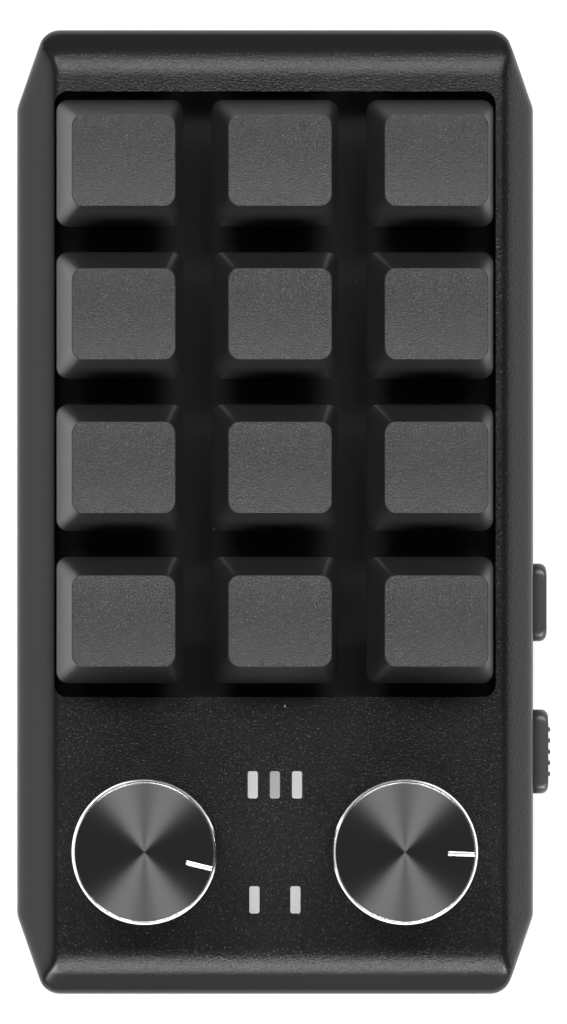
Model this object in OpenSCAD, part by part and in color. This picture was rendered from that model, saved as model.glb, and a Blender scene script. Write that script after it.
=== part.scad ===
// Macro keypad: twelve sprung keys, two push-and-turn knobs, a push button and a power slider.
// The origin is on the desk, under the middle of the whole. X runs across, Y along, Z up.

/* [Keys] */
// Distance between key columns
key_pitch_x = 21.7; // [20.5:0.1:24]
// Distance between key rows
key_pitch_y = 21.3; // [20.5:0.1:24]
// Outside width of a keycap at its rim
cap_w = 17.7; // [17.2:0.1:18.4]
// Height of a keycap from rim to top
cap_h = 9; // [8.6:0.1:11]
// Length of a keycap's top face, along X
cap_top_x = 14.5; // [13.5:0.1:15.2]
// Width of a keycap's top face, along Y
cap_top_y = 12.7; // [12:0.1:14]
// How far the top face lies off centre, away from the sloped front
cap_lean = 0.73; // [0:0.01:1]
// Radius of the dish in a keycap's top
cap_dish_r = 28; // [22:1:45]
// Thickness of a keycap's walls
cap_wall = 1.3; // [1:0.05:1.5]
// Travel of a key
key_travel = 4; // [3:0.1:4.2]
// Height of a keycap's rim above the switch plate
cap_rise = 6; // [5.8:0.1:7]

/* [Key pocket] */
// Depth of the pocket, from the deck to the switch plate
pocket_depth = 6.4; // [5.5:0.1:7.5]
// Gap between the outer keycaps and the pocket's long walls
pocket_side_gap = 0.38; // [0.3:0.01:1.5]
// Gap between the first row of keycaps and the pocket's end
pocket_head_gap = 1.25; // [0.6:0.05:3]
// Gap between the last row of keycaps and the pocket's end
pocket_foot_gap = 1.95; // [0.6:0.05:4]
// Radius of the pocket's corners
pocket_r = 1.8; // [1:0.1:3]
// Thickness of the wall round the pocket
pocket_wall = 1.6; // [1.2:0.1:2]
// Thickness of the switch plate
plate_t = 1.5; // [1.2:0.1:1.6]

/* [Case] */
// From the pocket's long walls to the outside of the case
side_band = 5.57; // [5.3:0.01:8]
// From the pocket's head end to the end of the case
head_band = 9.1; // [8.6:0.1:14]
// From the pocket's foot end to the end of the case, where the knobs are
control_band = 42.1; // [41:0.1:55]
// Thickness of the case's walls
wall_t = 2; // [1.6:0.1:2.3]
// Height of the bottom shell
base_h = 6.8; // [5.5:0.1:7.2]
// Height of the lip that locates the top shell
lip_h = 1.2; // [0.8:0.1:1.4]
// Height that the sloped flanks drop, from the deck to the side walls
flank_drop = 6.2; // [4.5:0.1:6.4]
// Width of the flank at the left
flank_left_w = 5.9; // [5:0.1:6.5]
// Width of the flank at the right
flank_right_w = 4.6; // [3.6:0.1:5.4]
// Radius that rounds the deck into the end walls
end_r = 6; // [4:0.1:7]
// How much a corner is cut across the case
corner_cut_x = 4.1; // [2.5:0.1:5]
// How much a corner is cut along the case
corner_cut_y = 11; // [8:0.5:14]
// How far a corner's cut face leans in by the time it reaches the deck
corner_lean = 2.2; // [0.5:0.1:3]
// Radius where a corner's cut meets the end wall
corner_r = 3.4; // [2.6:0.1:4]
// Bevel round the underside
base_bevel = 1.2; // [0.5:0.1:1.4]

/* [Inside] */
// From the case floor to the circuit board
board_rise = 6.4; // [6:0.1:7]
// Thickness of the circuit board
board_t = 1.6; // [1.2:0.1:2]
// From the circuit board to the top of the switch plate
plate_rise = 5; // [4.9:0.1:5.6]
// From the case walls to the edge of the circuit board
board_gap = 1.7; // [1.6:0.1:2.5]
// Length of the battery
battery_l = 50; // [30:1:60]
// Width of the battery
battery_w = 34; // [20:1:45]
// Thickness of the battery
battery_t = 4.2; // [3:0.1:4.6]
// Diameter of the case screws
screw_d = 2.2; // [2:0.1:2.5]
// Diameter of the case screws' heads
screw_head_d = 4; // [3.6:0.1:4.4]

/* [Knobs] */
// Diameter of a knob
knob_d = 20; // [16:0.5:24]
// Height of a knob
knob_h = 16; // [13.5:0.5:20]
// Distance between the two knobs
knob_spacing = 35.8; // [30:0.1:40]
// From the pocket's foot end to the knobs' axes
knob_drop = 20.8; // [18:0.1:24]
// Gap between the deck and a knob
knob_gap = 1.1; // [0.9:0.1:2]
// Travel of a knob when it is pressed
knob_travel = 0.5; // [0.3:0.1:0.6]
// Flutes in a knob's side
knob_flutes = 72; // [48:6:90]
// Depth of the flutes
flute_depth = 0.25; // [0.1:0.05:0.4]
// Width of the bevel round a knob's face
knob_bevel = 0.42; // [0.2:0.02:0.8]
// Length of the pointer line, from the rim
pointer_l = 4.3; // [2:0.1:6]
// Width of the pointer line
pointer_w = 0.65; // [0.4:0.05:1.2]
// Direction of the left knob's pointer
left_angle = -14; // [-180:1:180]
// Direction of the right knob's pointer
right_angle = -2; // [-180:1:180]
// Diameter of an encoder's shaft
shaft_d = 6; // [5.6:0.1:6.2]

/* [Light windows] */
// Width of a light window
light_w = 1.45; // [1:0.05:2]
// Length of a light window
light_l = 3.85; // [2:0.05:5]
// Distance between the three upper windows
light_pitch = 3.1; // [2.6:0.1:4]
// Distance between the two lower windows
light_pair = 5.74; // [4:0.02:8]
// From the knobs' axes up to the upper windows
light_up = 8.5; // [7:0.1:10]
// From the knobs' axes down to the lower windows
light_down = 7.6; // [6:0.1:9]

/* [Side controls] */
// Length of the push button
button_l = 11; // [8:0.1:13]
// How far the push button stands out
button_out = 1.9; // [1.2:0.1:2.5]
// Travel of the push button
button_travel = 0.5; // [0.3:0.05:0.5]
// From the foot end of the case to the push button
button_y = 55.2; // [50:0.1:60]
// Length of the power slider
slider_l = 11.9; // [9:0.1:13]
// How far the power slider stands out, without its ribs
slider_out = 2.15; // [1.2:0.05:2.6]
// Travel of the power slider
slider_travel = 2; // [1.5:0.1:2.5]
// From the foot end of the case to the power slider
slider_y = 34.1; // [30:0.1:37]
// Ribs on the power slider
slider_ribs = 5; // [3:1:7]
// Distance between the slider's ribs
rib_pitch = 1.57; // [1.2:0.01:1.8]
// Height of both side controls
control_h = 3.4; // [2.6:0.1:3.6]
// From the foot end of the case to the charging port
port_y = 78; // [70:0.5:100]

/* [Feet] */
// How far the feet stand out
foot_h = 1.2; // [0.8:0.1:2]
// Diameter of the feet
foot_d = 9; // [6:0.5:10]

/* [Hidden] */
$fn = 48;
columns = 3;
rows = 4;

// Clearances
fit_gap = 0.05;    // pieces that clip or turn in each other
slide_gap = 0.1;   // flat guides and shafts that slide
air_gap = 0.2;     // openings round a control
press_gap = 0.02;  // pieces pressed on
cut = 1;           // how far a cutter runs past a face
lap = 0.1;         // how far joined blocks run into each other
sliver = 0.02;     // the thin slices that a hull joins

// Heights above the desk
floor_z = foot_h + wall_t;
board_z = floor_z + board_rise;
board_top = board_z + board_t;
plate_top = board_top + plate_rise;
deck_z = plate_top + pocket_depth;
side_z = deck_z - flank_drop;
parting_z = foot_h + base_h;
cap_z = plate_top + cap_rise;
control_z = board_top + control_h / 2;
knob_z = deck_z + knob_gap;

// The side controls stand out on one side only, so the case lies off the middle
rib_out = 0.25;
case_x = -max(slider_out + rib_out, button_out) / 2;

// Plan
pocket_w = (columns - 1) * key_pitch_x + cap_w + 2 * pocket_side_gap;
field_l = (rows - 1) * key_pitch_y + cap_w;
pocket_l = field_l + pocket_head_gap + pocket_foot_gap;
case_w = pocket_w + 2 * side_band;
case_l = pocket_l + head_band + control_band;
foot_end = -case_l / 2;
pocket_y0 = foot_end + control_band;
pocket_y1 = pocket_y0 + pocket_l;
knob_y = pocket_y0 - knob_drop;

// Key switches
opening_w = 14.05;
housing_w = opening_w - 2 * fit_gap;
flange_w = 15.6;
flange_t = 1;
hood_base = opening_w + 0.4;
housing_h = 6.6;
chamber_h = 9.9;
housing_top_x = 10.4;
housing_top_y = 10;
housing_top = plate_top + housing_h;
stem_x = 7;
stem_y = 5.8;
collar_x = 9;
collar_h = 1.8;
chamber_floor = housing_top - chamber_h;
collar_z = chamber_floor + key_travel + 0.7;
stem_roof = 0.8;
rod_d = 3;
rod_low = 0.3;
rod_room = 0.3;
peg_d = 4;
peg_l = 3.3;
cross_w = 4;
cross_t = 1.2;
cross_h = 3.6;
socket_d = 5.4;
spring_d = 4;
spring_wire = 0.28;
spring_turns = 7;
spring_room = spring_d + 0.4;
spring_h = chamber_h - stem_roof - 2 * fit_gap;
pin_d = 1;
pin_reach = 1.4;
pins = [[-3.81, 2.54], [2.54, 5.08]];

// Keycaps
cap_r = 1.6;
cap_rim = 1;
cap_inner_r = 0.6;
cap_roof = 2.6;
dish_sides = 180;

// Encoders and knobs
encoder_x = 11.7;
encoder_y = 12;
encoder_h = 6.5;
bush_d = 7;
bush_out = 0.1;
rotor_d = 9;
rotor_h = 2.4;
rotor_rise = 2.3;
shaft_flat = 4.5;
shaft_rise = 1.2;
knob_socket = 13;
knob_skirt = 3;
knob_roof = 2.5;
knob_wall = 1.7;
knob_hub_d = 10;
knob_cap_t = 1.1;
knob_sink = 0.1;
knob_chamfer = 0.15;
pointer_depth = 0.4;
flute_inset = 0.08;
flute_slope = 0.15;

// Screw places, one of each left and right pair
screw_x = 26;
screw_mid_x = 22;
screw_places = [
    [screw_x, case_l / 2 - 5.6], [screw_mid_x, pocket_y0 - 5.6], [screw_x, foot_end + 6]
];
post_d = 5.4;
screw_hole_d = screw_d + 0.4;
screw_head_h = 1.5;
screw_sink = 0.3;
screw_bite = 6.5;
driver_l = 2.4;
driver_w = 0.6;
driver_h = 0.9;
foot_place = [case_w / 2 - 9.5, case_l / 2 - 14];
foot_seat = 0.4;
foot_edge = 0.4;

// Light pipes and their lamps
light_r = 0.35;
light_collar = 0.6;
light_collar_z = deck_z - 2.5 * wall_t;
shoulder = 0.4;
shoulder_h = 1.2;
pipe_z = board_top + 1;
lamp = [1.6, 3, 0.7];

// Battery, port and chips; a chip is placed by its x and y, and has a width and a length
battery_edge = 0.4;
port_w = 8.94;
port_h = 3.26;
port_l = 7.2;
port_r = 1.55;
port_skin = 0.3;
port_back = 1.2;
port_sink = 0.3;
port_z = board_top + port_h / 2;
port_mouth = case_w / 2 - port_sink;
tongue_w = 6.7;
tongue_t = 0.7;
tongue_short = 0.8;
small_r = 0.2;
chip_h = 0.9;
chips = [[0, knob_y, 7, 7], [11, knob_y + 6, 5, 4], [-11, knob_y + 6, 4, 3], [-11, knob_y - 8, 3, 3]];

// Side controls and the switches behind them
control_r = 0.7;
control_edge = 0.4;
slider_slot_l = slider_l + slider_travel + 2 * air_gap;
slider_slot_y = slider_y - slider_travel / 2;
slider_cover = slider_l + 2 * (slider_travel + air_gap + 0.7);
rib_t = 0.6;
flange_grow = 0.8;
flange_x1 = case_w / 2 - wall_t - slide_gap;
flange_x0 = flange_x1 - 0.8;
reach_x = flange_x0 - 0.5;
reach_l = 3;
reach_h = 2;
plunger_l = 1.5;
plunger_w = 2;
lever_w = 1.7;
lever_h = 1.6;
lever_in = 0.7;
lever_out = 0.3;
lever_r = 0.3;
fork_w = 1;
fork_h = 2.4;
fork_reach = 0.6;
switch_x1 = reach_x - 0.9;
switch_x0 = case_w / 2 - 7.3;
switch_l = 6;
slide_switch_x0 = switch_x0 - 0.8;
slide_switch_x1 = switch_x1 - 0.7;
slide_switch_l = 9;

function key_x(c) = (c - (columns - 1) / 2) * key_pitch_x;
function key_y(r) = pocket_y1 - pocket_head_gap - cap_w / 2 - r * key_pitch_y;
function knob_x(s) = s * knob_spacing / 2;

KEYS = [for (r = [0:rows - 1], c = [0:columns - 1]) [r, c]];
SIDES = [["left", -1, left_angle], ["right", 1, right_angle]];
function key_name(kind, k) = str(kind, "_r", k[0] + 1, "c", k[1] + 1);

// ---------- Outlines ----------

function unit(v) = v / norm(v);
function turn(v, a) = [v[0] * cos(a) - v[1] * sin(a), v[0] * sin(a) + v[1] * cos(a)];
function inward(a, b) = let (d = unit(b - a)) [-d[1], d[0]];

// A convex outline, counter-clockwise, with every side moved in by t
function inset(p, t) = [
    for (i = [0:len(p) - 1])
        let (
            a = p[(i + len(p) - 1) % len(p)],
            b = p[i],
            c = p[(i + 1) % len(p)],
            m = inward(a, b),
            n = inward(b, c)
        )
        b + t * (m + n) / (1 + m * n)
];

// The arc of radius r that rounds corner b of a counter-clockwise outline
function corner(a, b, c, r, n) =
    let (
        u = unit(a - b),
        v = unit(c - b),
        half = acos(u * v) / 2,
        centre = b + unit(u + v) * r / sin(half),
        start = b + u * r / tan(half) - centre,
        sweep = 180 - 2 * half
    )
    r <= 0.01 ? [b] : [for (k = [0:n]) centre + turn(start, sweep * k / n)];

function rounded(p, radii, n = 6) = [
    for (i = [0:len(p) - 1])
        each corner(p[(i + len(p) - 1) % len(p)], p[i], p[(i + 1) % len(p)], radii[i], n)
];

module rounded_rect(w, l, r) {
    square([w - 2 * r, l], center = true);
    square([w, l - 2 * r], center = true);
    for (x = [-1, 1], y = [-1, 1]) translate([x * (w / 2 - r), y * (l / 2 - r)]) circle(r);
}

module slab(w, l, h, r) {
    linear_extrude(h) rounded_rect(w, l, r);
}

// ---------- Case form ----------

plan = [
    [case_w / 2, corner_cut_y - case_l / 2], [case_w / 2, case_l / 2 - corner_cut_y],
    [case_w / 2 - corner_cut_x, case_l / 2], [corner_cut_x - case_w / 2, case_l / 2],
    [-case_w / 2, case_l / 2 - corner_cut_y], [-case_w / 2, corner_cut_y - case_l / 2],
    [corner_cut_x - case_w / 2, -case_l / 2], [case_w / 2 - corner_cut_x, -case_l / 2]
];
plan_radii = [6, 6, corner_r, corner_r, 6, 6, corner_r, corner_r];
section = [
    [case_w / 2 - base_bevel, foot_h], [case_w / 2, foot_h + base_bevel],
    [case_w / 2, side_z], [case_w / 2 - flank_right_w, deck_z],
    [flank_left_w - case_w / 2, deck_z], [-case_w / 2, side_z],
    [-case_w / 2, foot_h + base_bevel], [base_bevel - case_w / 2, foot_h]
];
section_radii = [0, 0, 1.6, 1.2, 0.6, 1.6, 0, 0];
corner_angle = atan(corner_cut_x / corner_cut_y);
corner_reach = cos(corner_angle) * case_w / 2 + sin(corner_angle) * (case_l / 2 - corner_cut_y);
lean_rate = corner_lean / flank_drop;

// The plan outline, t inside the case's walls
module plan_outline(t) {
    polygon(rounded(inset(plan, t), [for (r = plan_radii) max(r - t, 0.4)]));
}

// The view from the side: rounded ends above, a bevel below
module end_profile(t) {
    half = case_l / 2 - t;
    top = deck_z - t;
    low = foot_h + t;
    r = end_r - t;
    bevel = base_bevel - t * (2 - sqrt(2));
    polygon([
        [bevel - half, low], [half - bevel, low], [half, low + bevel], [half, top - r],
        [half - r, top], [r - half, top], [-half, top - r], [-half, low + bevel]
    ]);
    for (s = [-1, 1]) translate([s * (half - r), top - r]) circle(r);
}

// The two opposite cut corners' leaning faces, as one long bar
module corner_bar(t) {
    rise = deck_z - side_z;
    foot = side_z - foot_h + cut;
    wide = corner_reach - t * sqrt(1 + pow(lean_rate, 2));
    rotate([90, 0, 0])
        linear_extrude(2 * case_l, center = true)
            polygon([
                [-wide - foot * lean_rate, side_z - foot], [wide + foot * lean_rate, side_z - foot],
                [wide - 2 * rise * lean_rate, side_z + 2 * rise],
                [2 * rise * lean_rate - wide, side_z + 2 * rise]
            ]);
}

// The whole closed case, with every face moved in by t
module case_form(t = 0) {
    intersection() {
        translate([0, 0, foot_h + t]) linear_extrude(deck_z - foot_h - 2 * t) plan_outline(t);
        rotate([90, 0, 0])
            linear_extrude(case_l, center = true)
                polygon(rounded(inset(section, t), [for (r = section_radii) r > 0 ? max(r - t, 0.2) : 0], 4));
        rotate([90, 0, 90]) linear_extrude(case_w, center = true) end_profile(t);
        rotate(corner_angle) corner_bar(t);
        rotate(-corner_angle) corner_bar(t);
    }
}

// Puts a piece into the frame of the whole
module place() {
    translate([case_x, 0, 0]) children();
}

module above(z) {
    translate([-case_w, -case_l, z]) cube([2 * case_w, 2 * case_l, deck_z]);
}

module below(z) {
    translate([-case_w, -case_l, z - deck_z]) cube([2 * case_w, 2 * case_l, deck_z]);
}

module at_screws() {
    for (p = screw_places, s = [-1, 1]) translate([s * p[0], p[1], 0]) children();
}

module pocket_outline(grow = 0) {
    translate([0, (pocket_y0 + pocket_y1) / 2])
        rounded_rect(pocket_w + 2 * grow, pocket_l + 2 * grow, pocket_r + grow);
}

module at_lights() {
    for (i = [-1:1]) translate([i * light_pitch, knob_y + light_up, 0]) children();
    for (s = [-1, 1]) translate([s * light_pair / 2, knob_y - light_down, 0]) children();
}

// A bar that crosses the right-hand wall at the side controls' height
module wall_bar(y, l, h, x0, x1, r) {
    translate([x0, foot_end + y, control_z]) rotate([90, 0, 90]) slab(l, h, x1 - x0, r);
}

module top_shell() {
    color([0.09, 0.09, 0.095])
    place() difference() {
        union() {
            difference() {
                intersection() {
                    case_form();
                    above(parting_z);
                }
                case_form(wall_t);
            }
            // Walls of the key pocket, down to the switch plate
            intersection() {
                case_form(wall_t / 2);
                translate([0, 0, plate_top]) linear_extrude(pocket_depth) pocket_outline(pocket_wall);
            }
            // Screw posts, down to the circuit board
            intersection() {
                case_form(wall_t / 2);
                at_screws() translate([0, 0, board_top]) cylinder(d = post_d, h = deck_z);
            }
            // Collars round the light pipes
            at_lights()
                translate([0, 0, light_collar_z])
                    slab(light_w + 2 * light_collar, light_l + 2 * light_collar, 2 * wall_t, light_r + light_collar);
        }
        translate([0, 0, plate_top - cut]) linear_extrude(pocket_depth + 2 * cut) pocket_outline();
        // The rebate that takes the bottom shell's lip
        translate([0, 0, parting_z - cut]) linear_extrude(lip_h + air_gap + cut) plan_outline(wall_t / 2);
        at_screws() translate([0, 0, board_top - cut]) cylinder(d = screw_d + 2 * press_gap, h = screw_bite + cut);
        for (s = [-1, 1])
            translate([knob_x(s), knob_y, deck_z - 2 * wall_t]) cylinder(d = bush_d + 2 * air_gap, h = 3 * wall_t);
        at_lights()
            translate([0, 0, deck_z - 4 * wall_t])
                slab(light_w + 2 * fit_gap, light_l + 2 * fit_gap, 5 * wall_t, light_r + fit_gap);
        wall_bar(button_y, button_l + 2 * air_gap, control_h + 2 * air_gap,
            case_w / 2 - 2 * wall_t, case_w / 2 + cut, control_r + air_gap);
        wall_bar(slider_slot_y, slider_slot_l, control_h + 2 * air_gap,
            case_w / 2 - 2 * wall_t, case_w / 2 + cut, control_r + air_gap);
        translate([case_w / 2 - 2 * wall_t, foot_end + port_y, port_z])
            rotate([90, 0, 90]) slab(port_w + 2 * air_gap, port_h + 2 * air_gap, 3 * wall_t, port_r + air_gap);
    }
}

module bottom_shell() {
    color([0.1, 0.1, 0.105])
    place() difference() {
        union() {
            difference() {
                intersection() {
                    case_form();
                    below(parting_z);
                }
                case_form(wall_t);
            }
            // The lip inside the top shell's rebate
            translate([0, 0, parting_z - wall_t])
                linear_extrude(lip_h + wall_t)
                    difference() {
                        plan_outline(wall_t / 2 + fit_gap);
                        plan_outline(wall_t);
                    }
            // Posts that carry the circuit board
            at_screws() translate([0, 0, floor_z - wall_t / 2]) cylinder(d = post_d, h = board_rise + wall_t / 2);
        }
        at_screws() translate([0, 0, foot_h - cut]) cylinder(d = screw_hole_d, h = board_top);
        at_screws()
            translate([0, 0, foot_h - cut]) cylinder(d = screw_head_d + 2 * air_gap, h = screw_head_h + screw_sink + cut);
        for (x = [-1, 1], y = [-1, 1])
            translate([x * foot_place[0], y * foot_place[1], foot_h - cut])
                cylinder(d = foot_d + 2 * air_gap, h = foot_seat + cut);
    }
}

module switch_plate() {
    color([0.03, 0.03, 0.03])
    place() translate([0, 0, plate_top - plate_t])
        linear_extrude(plate_t)
            difference() {
                pocket_outline(pocket_wall);
                for (k = KEYS) translate([key_x(k[1]), key_y(k[0])]) square(opening_w, center = true);
                at_screws() circle(d = post_d + 2 * air_gap);
            }
}

module circuit_board() {
    color([0.05, 0.2, 0.12])
    place() translate([0, 0, board_z])
        linear_extrude(board_t)
            difference() {
                plan_outline(wall_t + board_gap);
                at_screws() circle(d = screw_hole_d);
                for (k = KEYS) translate([key_x(k[1]), key_y(k[0])]) {
                    circle(d = peg_d + 2 * slide_gap);
                    for (p = pins) translate(p) circle(d = pin_d + 2 * slide_gap);
                }
            }
    // Lamps under the light pipes
    color([0.9, 0.9, 0.8]) place() at_lights() translate([0, 0, board_top]) slab(lamp[0], lamp[1], lamp[2], small_r);
    // The controller and its small parts, on the underside
    color([0.05, 0.05, 0.05])
    place() for (p = chips) translate([p[0], p[1], board_z - chip_h]) slab(p[2], p[3], chip_h, small_r);
}

module battery() {
    color([0.6, 0.62, 0.64])
    place() translate([0, (pocket_y0 + pocket_y1) / 2, floor_z])
        rotate([90, 0, 0])
            linear_extrude(battery_l, center = true)
                translate([0, battery_t / 2]) rounded_rect(battery_w, battery_t, battery_edge * battery_t);
}

module charging_port() {
    color([0.75, 0.75, 0.77])
    place() translate([port_mouth - port_l, foot_end + port_y, port_z])
        rotate([90, 0, 90]) {
            difference() {
                slab(port_w, port_h, port_l, port_r);
                translate([0, 0, port_back])
                    slab(port_w - 2 * port_skin, port_h - 2 * port_skin, port_l, port_r - port_skin);
            }
            translate([0, 0, port_back - lap])
                slab(tongue_w, tongue_t, port_l - port_back - tongue_short + lap, small_r);
        }
}

module light_pipes() {
    color([0.85, 0.86, 0.86])
    place() at_lights() {
        translate([0, 0, pipe_z]) slab(light_w, light_l, deck_z - pipe_z, light_r);
        // A shoulder under the collar keeps the pipe from being pushed out
        translate([0, 0, light_collar_z - shoulder_h])
            slab(light_w + 2 * shoulder, light_l + 2 * shoulder, shoulder_h, light_r + shoulder);
    }
}

module rubber_feet() {
    color([0.05, 0.05, 0.05])
    place() for (x = [-1, 1], y = [-1, 1])
        translate([x * foot_place[0], y * foot_place[1], 0])
            rotate_extrude()
                polygon([
                    [0, 0], [foot_d / 2 - foot_edge, 0], [foot_d / 2, foot_edge],
                    [foot_d / 2, foot_h + foot_seat], [0, foot_h + foot_seat]
                ]);
}

module case_screws() {
    color([0.2, 0.2, 0.21])
    place() at_screws()
        translate([0, 0, foot_h + screw_sink])
            difference() {
                union() {
                    cylinder(d = screw_head_d, h = screw_head_h);
                    cylinder(d = screw_d, h = board_top + screw_bite - 2 * screw_sink - foot_h);
                }
                translate([0, 0, -cut]) linear_extrude(cut + driver_h) cross(driver_l, driver_w);
            }
}

// ---------- Keys ----------

module at_key(k) {
    translate([key_x(k[1]), key_y(k[0]), 0]) children();
}

// A block whose top is smaller and off centre
module tapered_block(w0, l0, w1, l1, h, lean, r, rim) {
    hull() {
        linear_extrude(rim) offset(r, $fn = 28) square([w0 - 2 * r, l0 - 2 * r], center = true);
        translate([lean, 0, h - sliver])
            linear_extrude(sliver) offset(r, $fn = 28) square([w1 - 2 * r, l1 - 2 * r], center = true);
    }
}

module cross(w, t) {
    square([w, t], center = true);
    square([t, w], center = true);
}

module keycap(k) {
    socket_z = housing_top + air_gap - cap_z;
    color([0.12, 0.12, 0.12])
    place() at_key(k) translate([0, 0, cap_z]) difference() {
        union() {
            difference() {
                tapered_block(cap_w, cap_w, cap_top_x, cap_top_y, cap_h, cap_lean, cap_r, cap_rim);
                translate([0, 0, -sliver])
                    tapered_block(cap_w - 2 * cap_wall, cap_w - 2 * cap_wall,
                        cap_top_x - 2 * cap_wall, cap_top_y - 2 * cap_wall,
                        cap_h - cap_roof + sliver, cap_lean, cap_inner_r, cap_wall / 4);
            }
            translate([0, 0, socket_z]) cylinder(d = socket_d, h = cap_h - cap_roof / 2 - socket_z);
        }
        // The dish runs along X
        translate([-cap_w, 0, cap_h + cap_dish_r - pow(cap_top_y, 2) / 8 / cap_dish_r])
            rotate([0, 90, 0]) cylinder(r = cap_dish_r, h = 2 * cap_w, $fn = dish_sides);
        translate([0, 0, -cut])
            linear_extrude(socket_z + cross_h + cut) cross(cross_w + 2 * press_gap, cross_t + 2 * press_gap);
    }
}

module key_stem(k) {
    color([0.55, 0.2, 0.15])
    place() at_key(k) {
        difference() {
            union() {
                translate([-stem_x / 2, -stem_y / 2, collar_z]) cube([stem_x, stem_y, housing_top - collar_z]);
                translate([-collar_x / 2, -stem_y / 2, collar_z]) cube([collar_x, stem_y, collar_h]);
            }
            translate([0, 0, collar_z - cut]) cylinder(d = spring_room, h = housing_top - collar_z - stem_roof + cut);
        }
        translate([0, 0, chamber_floor - rod_low]) cylinder(d = rod_d, h = chamber_h - stem_roof / 2 + rod_low);
        translate([0, 0, housing_top - stem_roof / 2]) linear_extrude(cross_h + stem_roof / 2) cross(cross_w, cross_t);
    }
}

module switch_housing(k) {
    guide_low = chamber_floor - rod_low - key_travel - rod_room;
    color([0.13, 0.13, 0.14])
    place() at_key(k) {
        difference() {
            union() {
                translate([-housing_w / 2, -housing_w / 2, board_top]) cube([housing_w, housing_w, plate_rise]);
                translate([-flange_w / 2, -flange_w / 2, plate_top]) cube([flange_w, flange_w, flange_t]);
                housing_hood();
                translate([0, 0, board_top - peg_l]) cylinder(d = peg_d, h = peg_l + cut);
            }
            translate([-stem_x / 2 - slide_gap, -stem_y / 2 - slide_gap, collar_z])
                cube([stem_x + 2 * slide_gap, stem_y + 2 * slide_gap, housing_top]);
            translate([-collar_x / 2 - air_gap, -stem_y / 2 - air_gap, chamber_floor])
                cube([collar_x + 2 * air_gap, stem_y + 2 * air_gap, collar_z + collar_h + slide_gap - chamber_floor]);
            translate([0, 0, guide_low]) cylinder(d = rod_d + 2 * slide_gap, h = chamber_floor - guide_low + cut);
        }
        for (p = pins) translate([p[0], p[1], board_z - pin_reach]) cylinder(d = pin_d, h = board_t + pin_reach + cut);
    }
}

// The upper housing tapers both ways above the flange
module housing_hood() {
    h = housing_h - flange_t;
    translate([0, 0, plate_top + flange_t])
        intersection() {
            rotate([90, 0, 0])
                linear_extrude(hood_base, center = true)
                    polygon([[-hood_base / 2, 0], [hood_base / 2, 0], [housing_top_x / 2, h], [-housing_top_x / 2, h]]);
            rotate([90, 0, 90])
                linear_extrude(hood_base, center = true)
                    polygon([[-hood_base / 2, 0], [hood_base / 2, 0], [housing_top_y / 2, h], [-housing_top_y / 2, h]]);
        }
}

// A compression spring, its end turns closed, as a wire swept in short straight lengths
coil_steps = 8;
wire_sides = 5;
closed_pitch = 1.15;
module coil(d, wire, turns, h) {
    n = turns * coil_steps;
    close = closed_pitch * wire;
    pitch = (h - wire - 2 * close) / (turns - 2);
    function rise(u) = u < 1 ? u * close : u > turns - 1 ? h - wire - (turns - u) * close : close + (u - 1) * pitch;
    points = [
        for (i = [0:n], j = [0:wire_sides - 1])
            let (
                u = i / coil_steps,
                a = 360 * j / wire_sides,
                r = (d - wire) / 2 + cos(a) * wire / 2
            )
            [r * cos(360 * u), r * sin(360 * u), wire / 2 + rise(u) + sin(a) * wire / 2]
    ];
    function spot(i, j) = i * wire_sides + j % wire_sides;
    sides = [
        for (i = [0:n - 1], j = [0:wire_sides - 1])
            each [
                [spot(i, j), spot(i, j + 1), spot(i + 1, j)],
                [spot(i, j + 1), spot(i + 1, j + 1), spot(i + 1, j)]
            ]
    ];
    first = [for (j = [0:wire_sides - 1]) spot(0, wire_sides - 1 - j)];
    last = [for (j = [0:wire_sides - 1]) spot(n, j)];
    polyhedron(points, concat(sides, [first, last]));
}

module key_springs() {
    color([0.8, 0.8, 0.82])
    place() for (k = KEYS)
        at_key(k) translate([0, 0, chamber_floor + fit_gap]) coil(spring_d, spring_wire, spring_turns, spring_h);
}

// ---------- Knobs ----------

module at_knob(s) {
    translate([knob_x(s[1]), knob_y, 0]) rotate(s[2]) children();
}

module double_flat(d, flat) {
    intersection() {
        circle(d = d);
        square([2 * d, flat], center = true);
    }
}

module encoder_body(s) {
    rotor_z = board_top + rotor_rise;
    color([0.6, 0.6, 0.62])
    place() translate([knob_x(s[1]), knob_y, 0])
        difference() {
            union() {
                translate([-encoder_x / 2, -encoder_y / 2, board_top]) cube([encoder_x, encoder_y, encoder_h]);
                translate([0, 0, board_top + encoder_h - cut])
                    cylinder(d = bush_d, h = deck_z + bush_out - board_top - encoder_h + cut);
            }
            translate([0, 0, rotor_z - slide_gap])
                cylinder(d = rotor_d + 2 * air_gap, h = rotor_h + 2 * slide_gap);
            translate([0, 0, board_top + shaft_rise - knob_travel - slide_gap])
                cylinder(d = shaft_d + 2 * air_gap, h = rotor_rise);
            translate([0, 0, rotor_z]) cylinder(d = shaft_d + 2 * fit_gap, h = deck_z);
        }
}

module encoder_rotor(s) {
    color([0.85, 0.85, 0.8])
    place() at_knob(s)
        translate([0, 0, board_top + rotor_rise])
            linear_extrude(rotor_h)
                difference() {
                    circle(d = rotor_d);
                    double_flat(shaft_d + 2 * fit_gap, shaft_flat + 2 * fit_gap);
                }
}

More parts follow.
